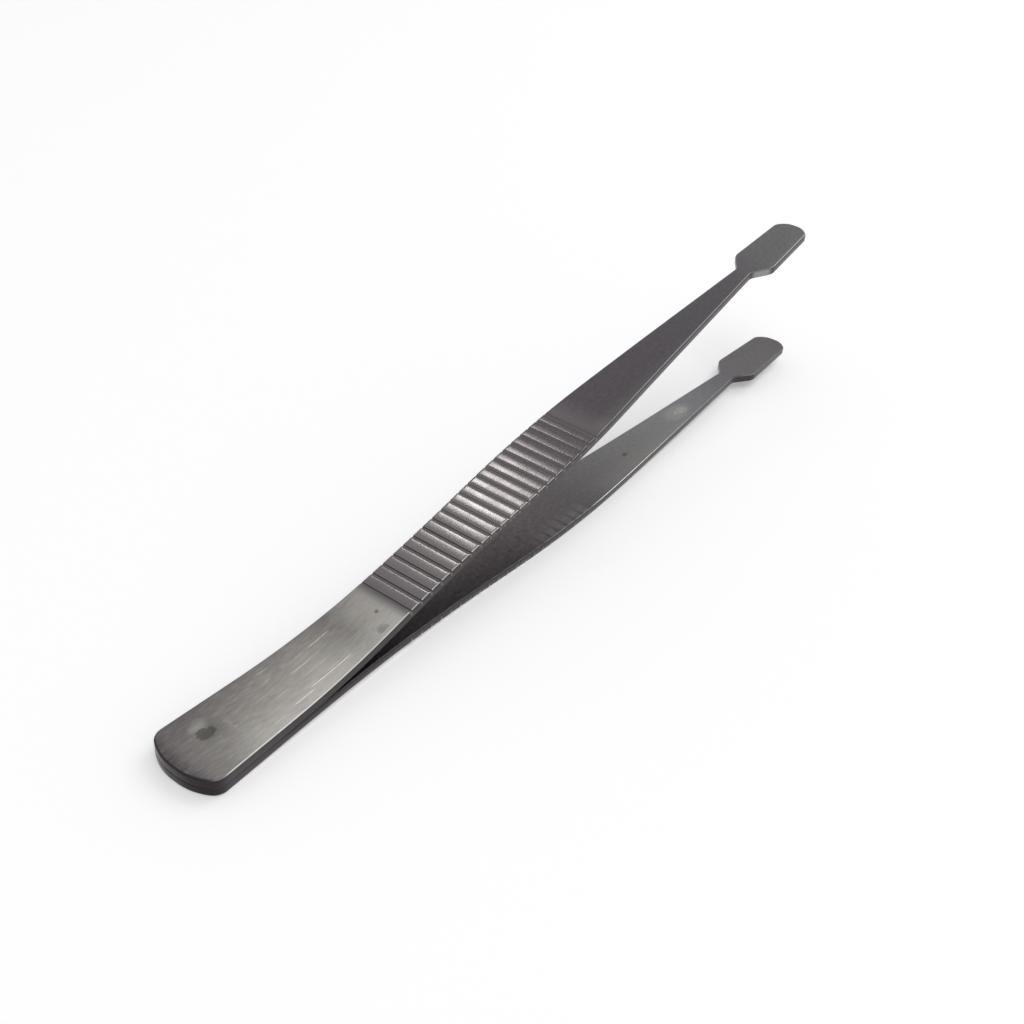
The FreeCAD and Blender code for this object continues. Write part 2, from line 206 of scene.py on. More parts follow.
def fill_face(loop, start, depth, shares, vertices):
    """Rows across a broad face, inside the loop that starts at a vertex, and their faces."""
    rows, count = len(rim_points), len(loop)
    heel = [start + c for c in range(ACROSS + 1)]
    tip = [start + ACROSS + rows - 1 + c for c in range(ACROSS, -1, -1)]
    lines = []
    for r in range(1, rows - 1):
        right, left = ACROSS + r, count - r
        line = [start + left]
        for share in shares[1:-1]:
            spot = loop[left] * (0.5 - share / 2) + loop[right] * (0.5 + share / 2)
            line.append(len(vertices))
            vertices.append(np.array([spot[0], spot[1], -depth]))
        lines.append(line + [start + right])
    if len(shares) == ACROSS + 1:
        lines = [heel] + lines + [tip]
        faces = []
    else:
        # few columns meet the many points of an end in one flat face
        faces = [heel[::-1] + lines[0], lines[-1][::-1] + tip]
    for low, high in zip(lines, lines[1:]):
        for c in range(len(shares) - 1):
            faces.append([low[c], high[c], high[c + 1], low[c + 1]])
    return faces


def flat_blank(name):
    """The strip before it is bent: X along it, Y across it, and Z minus the depth."""
    section = rounded_section()
    loops = [loop_at(inset) for inset, _ in section]
    count = len(loops[0])
    vertices, walls, faces = [], [], []
    for loop, (inset, depth) in zip(loops, section):
        vertices += list(np.column_stack([loop, np.full(count, -depth)]))
        rounding = OUTER_ROUNDING if depth < THICKNESS / 2 else INNER_ROUNDING
        walls += [1 - inset / rounding] * count
    for start in range(0, count * (len(loops) - 1), count):
        for i in range(count):
            j = (i + 1) % count
            faces.append((start + i, start + j, start + count + j, start + count + i))
    last = len(loops) - 1
    faces += fill_face(loops[0], 0, section[0][1], OUTER_COLUMNS, vertices)
    inner = fill_face(loops[last], last * count, section[last][1], INNER_COLUMNS, vertices)
    faces += [face[::-1] for face in inner]
    walls += [0.0] * (len(vertices) - len(walls))

    mesh = bpy.data.meshes.new(name)
    mesh.from_pydata([tuple(v) for v in vertices], [], [tuple(int(i) for i in f) for f in faces])
    blank = mesh.attributes.new("blank", "FLOAT_VECTOR", "POINT")
    blank.data.foreach_set("vector", np.concatenate(vertices))
    mesh.attributes.new("wall", "FLOAT", "POINT").data.foreach_set("value", walls)
    mesh.shade_smooth()
    return mesh


blank_mesh = flat_blank("flat_blank")
print("blank", len(blank_mesh.vertices), "vertices", len(blank_mesh.polygons), "faces")

# %% [markdown]
# Shader and geometry maths read best as plain expressions. This small class wraps a socket, so that
# place - 5 adds a Math node by itself. It works in both kinds of tree, because both have the node.
# Every other node comes from one function, which takes the settings first and then the sockets.


# %% A socket that does arithmetic
class Value:
    """A number that runs through a node tree."""

    def __init__(self, tree, socket):
        self.tree = tree
        self.socket = socket

    def math(self, operation, *others):
        node = self.tree.nodes.new("ShaderNodeMath")
        node.operation = operation
        for slot, value in zip(node.inputs, (self, *others)):
            plug(self.tree, slot, value)
        return Value(self.tree, node.outputs[0])

    def __add__(self, other):
        return self.math("ADD", other)

    __radd__ = __add__

    def __mul__(self, other):
        return self.math("MULTIPLY", other)

    __rmul__ = __mul__

    def __sub__(self, other):
        return self.math("SUBTRACT", other)

    def __rsub__(self, other):
        return (self * -1) + other

    def __truediv__(self, other):
        return self.math("DIVIDE", other)

    def __neg__(self):
        return self * -1

    def size(self):
        return self.math("ABSOLUTE")

    def at_least(self, low):
        return self.math("MAXIMUM", low)

    def at_most(self, high):
        return self.math("MINIMUM", high)

    def step(self, start, end):
        """Rises smoothly from 0 at start to 1 at end, or falls if end is the smaller."""
        share = ((self - start) * (1.0 / (end - start))).at_least(0.0).at_most(1.0)
        return share * share * (3.0 - 2.0 * share)

    def near(self, centre, reach):
        """1 at a place, and fading to 0 at a distance from it."""
        return (self - centre).size().step(reach, 0.0)


def plug(tree, slot, value):
    """Links a value to a socket, or sets the socket to a plain number."""
    if isinstance(value, Value):
        tree.links.new(value.socket, slot)
    elif hasattr(value, "is_output"):
        tree.links.new(value, slot)
    else:
        slot.default_value = value


def add_node(tree, kind, settings=None, **inputs):
    """Adds a node: its settings first, a ramp's stops among them, and then its sockets.

    A socket is named with _ for each space, or _ and its number where names repeat.
    """
    node = tree.nodes.new(kind)
    for name, value in (settings or {}).items():
        if name == "stops":
            ramp = node.color_ramp
            while len(ramp.elements) < len(value):
                ramp.elements.new(1.0)
            for element, (place, colour) in zip(ramp.elements, value):
                element.position = place
                element.color = (*colour, 1.0)
        else:
            setattr(node, name, value)
    for name, value in inputs.items():
        slot = int(name[1:]) if name.startswith("_") else name.replace("_", " ")
        plug(tree, node.inputs[slot], value)
    return node


# %% [markdown]
# Bending follows a rule, so Geometry Nodes do it. Along the steel the heading is 0 on the pad, grows
# evenly through the spring bend, and shrinks evenly along the bow. Each stretch adds its own run to
# the position, and a clamp stops a stretch from adding more than its share. A point then sits off
# that line by its depth, square to the heading.
#
# The grooves are cut in the same tree, before the bend. The nearest groove is found by rounding, and
# a point is pushed down to the floor of the cut only if it lies above it, as a real cutter would do.

# %% The tree that cuts and bends a blank
RIDGE_CROWN = 0.010
LIP_DROP = 0.022
LIP_POWER = 10.0
RUN_OUT = 0.2
bending = bpy.data.node_groups.new("cut_and_bend", "GeometryNodeTree")
SOCKETS = [
    ("Blank", "NodeSocketGeometry", None),
    ("Spread", "NodeSocketFloat", math.radians(UPPER_SPREAD)),
    ("Bow", "NodeSocketFloat", math.radians(UPPER_BOW)),
    ("Side", "NodeSocketFloat", 1.0),
    ("Pad end", "NodeSocketFloat", PAD_END),
    ("Bend end", "NodeSocketFloat", BEND_END),
    ("Bow start", "NodeSocketFloat", BOW_START),
    ("Bow end", "NodeSocketFloat", BOW_END),
    ("Groove place", "NodeSocketFloat", GROOVE_PLACE),
    ("Groove pitch", "NodeSocketFloat", GROOVE_PITCH),
    ("Groove count", "NodeSocketInt", GROOVE_COUNT),
    ("Groove width", "NodeSocketFloat", GROOVE_WIDTH),
    ("Groove depth", "NodeSocketFloat", GROOVE_DEPTH),
    ("Ridge crown", "NodeSocketFloat", RIDGE_CROWN),
    ("Lip drop", "NodeSocketFloat", LIP_DROP),
    ("Finish", "NodeSocketMaterial", None),
]
for title, kind, default in SOCKETS:
    socket = bending.interface.new_socket(title, in_out="INPUT", socket_type=kind)
    if default is not None:
        socket.default_value = default
bending.interface.new_socket("Blade", in_out="OUTPUT", socket_type="NodeSocketGeometry")
entry = bending.nodes.new("NodeGroupInput")
size = {
    title: Value(bending, entry.outputs[title])
    for title, kind, _ in SOCKETS if kind in ("NodeSocketFloat", "NodeSocketInt")
}

position = add_node(bending, "GeometryNodeInputPosition")
split = add_node(bending, "ShaderNodeSeparateXYZ", Vector=position.outputs[0])
place, across, height = (Value(bending, split.outputs[i]) for i in range(3))
depth = -height

# how far the point is from the middle of the nearest groove, and whether that groove exists
nearest = ((place - size["Groove place"]) / size["Groove pitch"]).math("ROUND")
nearest = nearest.at_least(0.0).at_most(size["Groove count"] - 1.0)
away = (place - size["Groove place"] - nearest * size["Groove pitch"]).size()
half_groove = size["Groove width"] * 0.5
groove = size["Groove depth"] * (away / half_groove).step(1.0, 0.3)

# the lands between the grooves are worn: almost flat, with round lips
half_land = (size["Groove pitch"] - size["Groove width"]) * 0.5
off_middle = (size["Groove pitch"] * 0.5 - away) / half_land
last_groove = size["Groove place"] + (size["Groove count"] - 1.0) * size["Groove pitch"]
between = (place - size["Groove place"]).step(0.0, RUN_OUT) * (last_groove - place).step(0.0, RUN_OUT)
crown = size["Ridge crown"] * off_middle * off_middle
lip = size["Lip drop"] * off_middle.size().at_most(1.0).math("POWER", LIP_POWER)
worn = (crown + lip) * between

# the weld left a shallow dish that is deeper in its middle
along_weld, across_weld = place - WELD_PLACE, across - WELD_OFFSET
to_weld = (along_weld * along_weld + across_weld * across_weld).math("SQRT")
weld = WELD_DEPTH * (to_weld.step(WELD_REACH, 0.3) + to_weld.step(WELD_CORE, 0.2))

floor_depth = groove + worn + weld
on_outside = (depth / THICKNESS).step(0.6, 0.5)
cut_depth = depth + (floor_depth - depth).at_least(0.0) * on_outside

# the line of the inner face, stretch by stretch
spread, bow = size["Spread"], size["Bow"]
lean = spread - bow
bend_radius = (size["Bend end"] - size["Pad end"]) / spread
bow_radius = (size["Bow end"] - size["Bow start"]) / bow
on_pad = place.at_most(size["Pad end"])
bent = ((place - size["Pad end"]) / bend_radius).at_least(0.0).at_most(spread)
straight = (place - size["Bend end"]).at_least(0.0).at_most(size["Bow start"] - size["Bend end"])
bowed = ((place - size["Bow start"]) / bow_radius).at_least(0.0).at_most(bow)
front = (place - size["Bow end"]).at_least(0.0)
heading = bent - bowed
start_of_bow = spread - bowed
line_x = (
    on_pad + bend_radius * bent.math("SINE") + straight * spread.math("COSINE")
    + bow_radius * (spread.math("SINE") - start_of_bow.math("SINE")) + front * lean.math("COSINE")
)
line_z = (
    bend_radius * (1.0 - bent.math("COSINE")) + straight * spread.math("SINE")
    + bow_radius * (start_of_bow.math("COSINE") - spread.math("COSINE")) + front * lean.math("SINE")
)
above = THICKNESS - cut_depth
x = line_x - above * heading.math("SINE")
z = (line_z + above * heading.math("COSINE")) * size["Side"]
bent_position = add_node(bending, "ShaderNodeCombineXYZ", X=x * MM, Y=across * MM, Z=z * MM)

# the tops of the ridges, which fingers rub
land = between * off_middle.size().step(1.15, 0.8)


def keep(geometry, name, value):
    """Stores a number on every vertex under a name that the finish can read."""
    return add_node(
        bending, "GeometryNodeStoreNamedAttribute", {"data_type": "FLOAT", "domain": "POINT"},
        Geometry=geometry, Name=name, Value=value,
    ).outputs["Geometry"]


# a field is worked out where it is used, so the marks are stored before any point moves
geometry = keep(entry.outputs["Blank"], "cut", groove * on_outside)
geometry = keep(geometry, "land", land)
for kind, sockets in (
    ("GeometryNodeSetPosition", {"Position": bent_position.outputs[0]}),
    ("GeometryNodeRealizeInstances", {}),
    ("GeometryNodeSetMaterial", {"Material": entry.outputs["Finish"]}),
):
    geometry = add_node(bending, kind, Geometry=geometry, **sockets).outputs["Geometry"]
way_out = bending.nodes.new("NodeGroupOutput")
bending.links.new(geometry, way_out.inputs["Blade"])
print("tree with", len(bending.nodes), "nodes")

# %% [markdown]
# The forceps lie on the heel's end edge and on the bulge of the lower grip. The line that touches both
# gives the slope. The bow is an arc, so the slope follows from its centre and its radius.

# %% How the pair lies
low = math.radians(LOWER_SPREAD)
arc_r = (BEND_END - PAD_END) / low
bow_r = (BOW_END - BOW_START) / math.radians(LOWER_BOW)
run = BOW_START - BEND_END
centre_x = PAD_END + (arc_r + bow_r) * math.sin(low) + run * math.cos(low)
centre_z = bow_r * math.cos(low) - arc_r * (1 - math.cos(low)) - run * math.sin(low)
reach = (centre_x - OUTER_ROUNDING, centre_z + THICKNESS)
slope = math.atan2(reach[1], reach[0]) - math.asin((bow_r + THICKNESS) / math.hypot(*reach))
lay_down = Matrix.Rotation(slope, 4, "Y")
print("the heel pad slopes", round(math.degrees(-slope), 3), "degrees up towards the heel")


# %% [markdown]
# The finish. This is brushed steel that has been handled for years, and each stretch has its own tone:
# a warm grey heel, dull first ridges, ridges that fingers have rubbed, a dark front and slightly paler
# spades. These tones are partly painted reflection: the bright bend before the grip and the gleam that
# fades along the ridges are painted into the colour. One ramp along the blade says so for the outer
# face, one for the inner face, whose dark stretch by the grip is painted shade and whose brighter
# stretch towards the tips is painted reflection, and one for the cut edge. The blank's own coordinates
# drive them, so the finish follows the steel through its bends.

# %% Tones along a blade
# steel tone with painted reflection: a bright band on the bend at 24-27 mm, a ridge gleam fading to 64
# mm
OUTER_TONES_AND_REFLECTION = [
    (0.0, (0.150, 0.138, 0.142)),
    (2.0, (0.270, 0.257, 0.243)),
    (5.0, (0.280, 0.267, 0.250)),
    (8.0, (0.335, 0.319, 0.290)),
    (14.0, (0.395, 0.376, 0.340)),
    (18.0, (0.440, 0.420, 0.380)),
    (22.5, (0.320, 0.305, 0.277)),
    (24.6, (0.480, 0.460, 0.418)),
    (26.8, (0.560, 0.540, 0.495)),
    (27.9, (0.240, 0.222, 0.222)),
    (29.0, (0.285, 0.257, 0.258)),
    (36.0, (0.310, 0.280, 0.276)),
    (44.0, (0.300, 0.276, 0.270)),
    (50.0, (0.235, 0.214, 0.213)),
    (56.0, (0.190, 0.170, 0.174)),
    (61.5, (0.180, 0.163, 0.168)),
    (64.5, (0.128, 0.115, 0.122)),
    (80.0, (0.145, 0.131, 0.140)),
    (98.0, (0.160, 0.150, 0.156)),
    (104.0, (0.205, 0.199, 0.199)),
    (113.0, (0.222, 0.216, 0.212)),
]
# steel tone with painted shade by the grip under the other blade, painted reflection from 74 to 92 mm
INNER_TONES_SHADE_AND_REFLECTION = [
    (0.0, (0.100, 0.092, 0.092)),
    (30.0, (0.110, 0.098, 0.100)),
    (46.0, (0.125, 0.110, 0.114)),
    (52.0, (0.165, 0.148, 0.152)),
    (60.0, (0.170, 0.155, 0.158)),
    (64.0, (0.190, 0.180, 0.180)),
    (74.0, (0.250, 0.245, 0.236)),
    (86.0, (0.300, 0.300, 0.298)),
    (92.0, (0.270, 0.274, 0.284)),
    (99.0, (0.200, 0.194, 0.200)),
    (104.0, (0.190, 0.178, 0.182)),
    (114.0, (0.165, 0.152, 0.158)),
]
EDGE_TONES = [
    (0.0, (0.036, 0.030, 0.036)),
    (1.5, (0.045, 0.038, 0.044)),
    (3.0, (0.080, 0.070, 0.074)),
    (12.0, (0.062, 0.055, 0.057)),
    (26.0, (0.056, 0.050, 0.051)),
    (50.0, (0.058, 0.052, 0.054)),
    (60.0, (0.064, 0.058, 0.061)),
    (66.0, (0.074, 0.068, 0.071)),
    (115.0, (0.060, 0.056, 0.058)),
]
# the weld's crescent is a painted highlight, and its core is a stain with painted shade
WELD_CRESCENT_HIGHLIGHT = (0.36, 0.37, 0.335, 1.0)
WELD_STAIN_AND_SHADE = (0.125, 0.117, 0.102, 1.0)
# a dark tone for real dirt and marks, also laid as painted shade by the heel, slit and inner grip
DIRT_AND_SHADE = (0.034, 0.028, 0.030, 1.0)
GROOVE_FLOOR = (0.235, 0.210, 0.214, 1.0)
# a light steel tone for real rubbing, also laid as painted light on near sides and a spade's shoulder
RUBBED_AND_LIT = (0.80, 0.775, 0.72, 1.0)
# a near-white for real scratches, also laid as a painted highlight along the near rim
SCRATCH_AND_HIGHLIGHT = (0.97, 0.95, 0.90, 1.0)
# a purple-grey laid only as painted shade: the heel's far side and end, and the far rim
PURPLE_SHADE = (0.120, 0.100, 0.112, 1.0)
print("tones outside, inside, edge", len(OUTER_TONES_AND_REFLECTION), len(INNER_TONES_SHADE_AND_REFLECTION), len(EDGE_TONES))


def mix_colour(tree, share, first, second):
    """The second colour laid over the first by a share from 0 to 1."""
    mix = add_node(tree, "ShaderNodeMix", {"data_type": "RGBA"}, _0=share, _6=first, _7=second)
    return mix.outputs[2]


def tones(tree, place, stops):
    """A colour ramp along the blade."""
    scaled = [(spot / LENGTH, colour) for spot, colour in stops]
    ramp = add_node(tree, "ShaderNodeValToRGB", {"stops": scaled}, Fac=place * (1.0 / LENGTH))
    return ramp.outputs["Color"]


# %% [markdown]
# Brushing leaves streaks along the blade. Noise makes them once its coordinates are stretched: many
# waves across and few along. A finish is then built up in layers, as a painter glazes, so a small
# class holds the places that every layer needs and the colour as it stands so far.


# %% Noise and layers
# waves in a millimetre along and across the blade, finer layers of noise, and how much they count
GRAIN = (0.8, 9.0, 3.0, 0.6)
CLOUD = (0.35, 0.45, 3.0, 0.5)
MOTTLE = (1.7, 2.1, 4.0, 0.65)
SMEARS = (0.5, 2.4, 4.0, 0.62)
RAGGED = 1.2


def noise(tree, blank, shift, along, across, detail, rough):
    """Noise from 0 to 1 that is stretched along the blade."""
    stretched = add_node(
        tree, "ShaderNodeMapping", Vector=blank, Scale=(along, across, across), Location=shift
    )
    texture = add_node(
        tree, "ShaderNodeTexNoise", {"noise_dimensions": "3D"},
        Vector=stretched.outputs[0], Scale=1.0, Detail=detail, Roughness=rough,
    )
    return Value(tree, texture.outputs[0])


class Finish:
    """Where a point lies on the blade, and the colour that has been laid on it so far."""

    def __init__(self, tree, shift):
        self.tree = tree
        blank = self.stored("blank", "Vector")
        self.wall, self.cut, self.land = (
            Value(tree, self.stored(word, "Fac")) for word in ("wall", "cut", "land")
        )
        split = add_node(tree, "ShaderNodeSeparateXYZ", Vector=blank)
        self.place, self.across, self.height = (Value(tree, split.outputs[i]) for i in range(3))
        self.inside = self.height.step(-0.5, -0.6)
        self.outside = 1.0 - self.inside
        self.near_side = self.across.step(0.0, -1.5)
        self.grain = noise(tree, blank, shift, *GRAIN)
        self.cloud = noise(tree, blank, shift, *CLOUD)
        self.mottle = noise(tree, blank, shift, *MOTTLE)
        self.smears = noise(tree, blank, shift, *SMEARS)
        outer_tone = tones(tree, self.place, OUTER_TONES_AND_REFLECTION)
        self.colour = mix_colour(tree, self.inside, outer_tone, tones(tree, self.place, INNER_TONES_SHADE_AND_REFLECTION))

    def stored(self, attribute, output):
        """The socket that reads what the blank or the tree stored on the mesh."""
        return add_node(self.tree, "ShaderNodeAttribute", {"attribute_name": attribute}).outputs[output]

    def lay(self, share, colour):
        """Glazes a colour over what is there, by a share from 0 to 1."""
        self.colour = mix_colour(self.tree, share, self.colour, colour)

    def blot(self, spot, reach):
        """1 in the middle of a ragged mark, fading to 0 at its reach along and across the blade."""
        along = (self.place + RAGGED * (self.mottle - 0.5) - spot[0]) / reach[0]
        over = (self.across + RAGGED * (self.smears - 0.5) - spot[1]) / reach[1]
        return (along * along + over * over).step(1.0, 0.2)


print("brushing has", GRAIN[1], "streaks in a millimetre across")

# %% [markdown]
# The heel has lain on benches and in trays, and long bright scratches run before the grip. Painted
# shade darkens its far side and the band at its end, painted light brightens its near side, and the
# spot weld shows a stain with painted shade in its dish and a painted highlight on one edge of the
# dish.

# %% Layers of the heel
# start and end along the blade, place across it, and strength
SCRATCHES = [
    (15.0, 20.4, -2.25, 1.0),
    (12.4, 14.8, -2.65, 0.85),
    (18.6, 21.2, 1.65, 0.75),
    (15.1, 17.6, 0.45, 0.6),
    (12.0, 13.4, -0.75, 0.4),
    (15.2, 19.2, -0.72, 0.35),
    (12.7, 13.9, 2.8, 0.45),
    (16.6, 17.6, 1.6, 0.3),
    (12.4, 13.2, 1.55, 0.35),
    (14.6, 16.0, -2.0, 0.35),
    (10.4, 12.4, 0.25, 0.25),
    (17.4, 19.6, -1.9, 0.3),
    (9.2, 11.0, -3.0, 0.25),
    (21.6, 22.6, -2.3, 0.25),
    (13.6, 14.8, -0.1, 0.2),
    (18.3, 18.9, 0.5, 0.4),
]
SCRATCH_HALF_WIDTH = 0.075
SCRATCH_FADE = 0.4
SCRATCH_WANDER = 0.08
print("scratches", len(SCRATCHES))


def scratched(finish):
    """Thin scratches that run along the blade and wander a little across it."""
    place = finish.place
    wandering = finish.across + SCRATCH_WANDER * (finish.cloud - 0.5)
    total = finish.across * 0.0
    for start, end, line, strength in SCRATCHES:
        on_line = (wandering - line).size().step(SCRATCH_HALF_WIDTH, 0.01)
        run = place.step(start - SCRATCH_FADE, start + SCRATCH_FADE)
        run = run * place.step(end + SCRATCH_FADE, end - SCRATCH_FADE)
        total = total.at_least(strength * on_line * run)
    return total * finish.outside * finish.mottle.step(0.25, 0.50)


def heel_layers(finish):
    """Painted shade and light on the heel, its wear and streaks, and its marks."""
    place, across, cloud, outside = finish.place, finish.across, finish.cloud, finish.outside
    heel = place.step(28.0, 26.5) * outside
    # painted shade: the heel's far side is darker, ragged by noise, and its first 1.6 mm at the end too
    far_side_shade = (across + 3.0 * (cloud - 0.5) + 0.06 * (16.0 - place)).step(0.2, 4.4) * heel
    finish.lay(0.42 * far_side_shade, PURPLE_SHADE)
    finish.lay(0.85 * place.step(1.6, 0.1) * outside, PURPLE_SHADE)
    # painted light: the near side of the heel is lighter
    near_side_light = (across * -1.0 + 1.6 * (cloud - 0.5)).step(-0.6, 4.2) * heel * place.step(2.0, 9.0)
    finish.lay(0.42 * near_side_light, RUBBED_AND_LIT)
    blotches = (finish.smears - 0.5) * heel
    finish.lay(blotches.step(0.0, 0.22) * 0.12, RUBBED_AND_LIT)
    finish.lay(blotches.step(0.0, -0.22) * 0.16, DIRT_AND_SHADE)
    finish.lay((finish.grain - 0.5).step(0.0, 0.25) * 0.15 * heel, RUBBED_AND_LIT)
    finish.lay((0.5 - finish.grain).step(0.0, 0.25) * 0.20 * heel, DIRT_AND_SHADE)
    finish.lay(scratched(finish), SCRATCH_AND_HIGHLIGHT)

    # the weld, with a painted highlight on its crescent and a stain with painted shade in its core,
    # and small pits before the first groove
    finish.lay(0.55 * finish.blot((4.55, 2.0), (1.25, 0.75)) * outside, WELD_CRESCENT_HIGHLIGHT)
    core = finish.blot((4.6, 0.85), (1.1, 0.85)).step(0.05, 0.5)
    finish.lay(0.80 * core * outside, WELD_STAIN_AND_SHADE)
    finish.lay(0.10 * finish.blot((6.8, 0.0), (0.2, 1.4)) * outside, RUBBED_AND_LIT)
    finish.lay(0.60 * finish.blot((26.15, -0.5), (0.42, 0.22)) * outside, DIRT_AND_SHADE)
    smudge = finish.blot((24.9, -2.6), (0.9, 0.5)) * finish.grain.step(0.3, 0.6)
    finish.lay(0.45 * smudge * outside, DIRT_AND_SHADE)


# %% [markdown]
# The grooves are darkened: most on the tip-side wall of each groove, most of all near the heel, and
# little on the floor, which has a mid tone. The ridges between are rubbed, most of all in the middle.

# %% Layers of the grip and the front
FRONT_START = GROOVE_PLACE + GROOVE_PITCH * (GROOVE_COUNT - 1) + GROOVE_WIDTH / 2
RUBBED_PLACE, RUBBED_REACH = 44.0, 13.0
print("the smooth front starts at", round(FRONT_START, 2), "mm")


def grip_layers(finish):
    """Darkened grooves and wear on the ridges. Returns where the grooves lie."""
    sunk = finish.cut * (1.0 / GROOVE_DEPTH)
    after_middle = ((finish.place - GROOVE_PLACE) / GROOVE_PITCH + 0.5).math("FRACT") - 0.5
    finish.lay(0.80 * sunk.step(0.10, 0.60), GROOVE_FLOOR)
    # the groove walls are darkened, the tip-side wall most and most of all before 44 mm
    tip_wall = sunk.step(0.05, 0.35) * after_middle.step(0.02, 0.08)
    finish.lay(tip_wall * (0.30 + 0.40 * finish.place.step(44.0, 38.0)), DIRT_AND_SHADE)
    heel_wall = sunk.step(0.05, 0.35) * after_middle.step(-0.05, -0.12)
    finish.lay(0.30 * heel_wall, DIRT_AND_SHADE)
    rubbed = finish.land * finish.outside * finish.place.near(RUBBED_PLACE, RUBBED_REACH)
    finish.lay(0.14 * rubbed * finish.mottle.step(0.35, 0.75), RUBBED_AND_LIT)
    return sunk.step(0.05, 0.4)


def front_layers(finish):
    """Specks on the smooth stretch before the grip, and a paler near side."""
    front = finish.place.step(FRONT_START, FRONT_START + 2.0) * finish.outside
    speckle = (finish.mottle - 0.5) * front
    finish.lay(speckle.step(0.0, 0.25) * 0.06, RUBBED_AND_LIT)
    finish.lay(speckle.step(0.0, -0.25) * 0.22, DIRT_AND_SHADE)
    paler = finish.across.step(-1.2, -3.6) * front
    finish.lay(0.07 * paler, RUBBED_AND_LIT)


# %% [markdown]
# The inner faces never touch a hand. They are darker by the grip with painted shade, where the other
# blade covers them, and the grooves of the other face show through as light bars near the edge. Towards
# the tips their near half is lighter with painted reflection. A bright rubbed patch and a dark spot lie
# on the lower one.


# %% Layers of the inner face and the edges
def inner_layers(finish):
    """Mottling with painted shade by the grip, ghost bars, painted reflection on the near half, and the
    marks of the inner face.
    """
    place, across, inside = finish.place, finish.across, finish.inside
    dull = (finish.mottle - 0.5) * inside
    finish.lay(dull.step(0.0, 0.25) * 0.07, RUBBED_AND_LIT)
    # painted shade: the dark mottling grows strong before 60 mm, where the other blade covers the face
    finish.lay(dull.step(0.0, -0.25) * (0.16 + 0.40 * place.step(60.0, 48.0)), DIRT_AND_SHADE)
    bars = finish.land * place.step(48.0, 54.0) * place.step(63.0, 59.0) * across.step(-1.0, -3.6)
    finish.lay(0.14 * bars * finish.smears.step(0.2, 0.6) * inside, RUBBED_AND_LIT)
    # painted reflection: the near half of the inner face is lighter from 62 to 92 mm
    near_half_reflection = across.step(0.5, -3.0) * place.step(62.0, 68.0) * place.step(92.0, 84.0)
    finish.lay(0.10 * near_half_reflection * inside, RUBBED_AND_LIT)
    finish.lay(0.55 * finish.blot((73.3, -0.3), (0.5, 0.35)) * inside, DIRT_AND_SHADE)
    finish.lay(0.14 * finish.blot((87.0, 0.1), (3.4, 1.6)) * inside, RUBBED_AND_LIT)
    star = finish.blot((87.6, 0.0), (1.5, 0.8)) * finish.mottle.step(0.3, 0.6)
    finish.lay(0.30 * star * inside, RUBBED_AND_LIT)
    finish.lay(0.45 * finish.blot((100.6, -1.6), (1.6, 0.8)) * inside, DIRT_AND_SHADE)


def edge_layers(finish, shoulder_shine):
    """The cut edge, and the rim, with a painted highlight along the near side and painted shade along
    the far side.
    """
    place, wall = finish.place, finish.wall
    rim = wall.step(0.02, 0.20) * wall.step(0.78, 0.55)
    edge = wall.step(0.5, 0.9)
    finish.lay(edge, tones(finish.tree, place, EDGE_TONES))
    # the inner half of the edge is in the dark where the blades part
    slit = finish.height.step(-0.45, -0.8) * place.step(7.0, 12.0) * place.step(29.0, 24.0)
    finish.lay(0.65 * edge * slit, DIRT_AND_SHADE)
    # the near shoulder of a spade catches the light
    shine = edge * finish.near_side * place.step(100.4, 101.4) * place.step(103.6, 102.6)
    finish.lay(shoulder_shine * shine, RUBBED_AND_LIT)
    # painted highlight on the near rim: by the heel and grip outside, and from 60 to 88 mm inside
    outer = place.step(1.8, 3.0) * (0.04 + 0.96 * place.step(60.0, 46.0)) * finish.outside
    inner = 0.85 * place.step(60.0, 63.0) * place.step(88.0, 70.0) * finish.inside
    finish.lay(0.8 * rim * finish.near_side * (outer + inner), SCRATCH_AND_HIGHLIGHT)
    # painted shade along the far rim, up to 70 mm
    finish.lay(0.6 * wall.step(0.02, 0.4) * (1.0 - finish.near_side) * place.step(70.0, 50.0), PURPLE_SHADE)
    # painted shade on the rim at the heel's end
    finish.lay(0.75 * wall.step(0.02, 0.3) * place.step(2.2, 0.9), DIRT_AND_SHADE)


# %% [markdown]
# Each blade gets its own copy of the finish, with its noise shifted, so that the two don't wear alike.
# The ridges are the smoothest steel, and the grooves are the dullest. Fine bumps follow the brushing,
# except on the ridges, which fingers have polished.


# %% Steel
ROUGHNESS = 0.31
BUMP_HEIGHT = 0.00002


def steel(name, shift, shoulder_shine):
    """Brushed, handled steel with darkened grooves and dark cut edges, and painted light and shade in
    its colour.
    """
    material = bpy.data.materials.new(name)
    material.use_nodes = True
    tree = material.node_tree
    tree.nodes.clear()
    finish = Finish(tree, shift)
    heel_layers(finish)
    front_layers(finish)
    inner_layers(finish)
    edge_layers(finish, shoulder_shine)
    in_groove = grip_layers(finish)
    ridged = finish.land * finish.outside
    rough = ROUGHNESS + 0.12 * (finish.cloud - 0.5) + 0.06 * (finish.grain - 0.5)
    rough = rough - 0.13 * ridged + 0.15 * in_groove
    brushed = finish.grain + 0.4 * (finish.mottle - 0.5)
    relief = (1.0 - ridged) * brushed + 0.5 * ridged
    bump = add_node(
        tree, "ShaderNodeBump", Strength=0.30, Distance=BUMP_HEIGHT, Height=relief
    )
    shader = add_node(
        tree, "ShaderNodeBsdfPrincipled",
        Metallic=1.0, Base_Color=finish.colour, Roughness=rough, Normal=bump.outputs[0],
    )
    add_node(tree, "ShaderNodeOutputMaterial", Surface=shader.outputs[0])
    return material


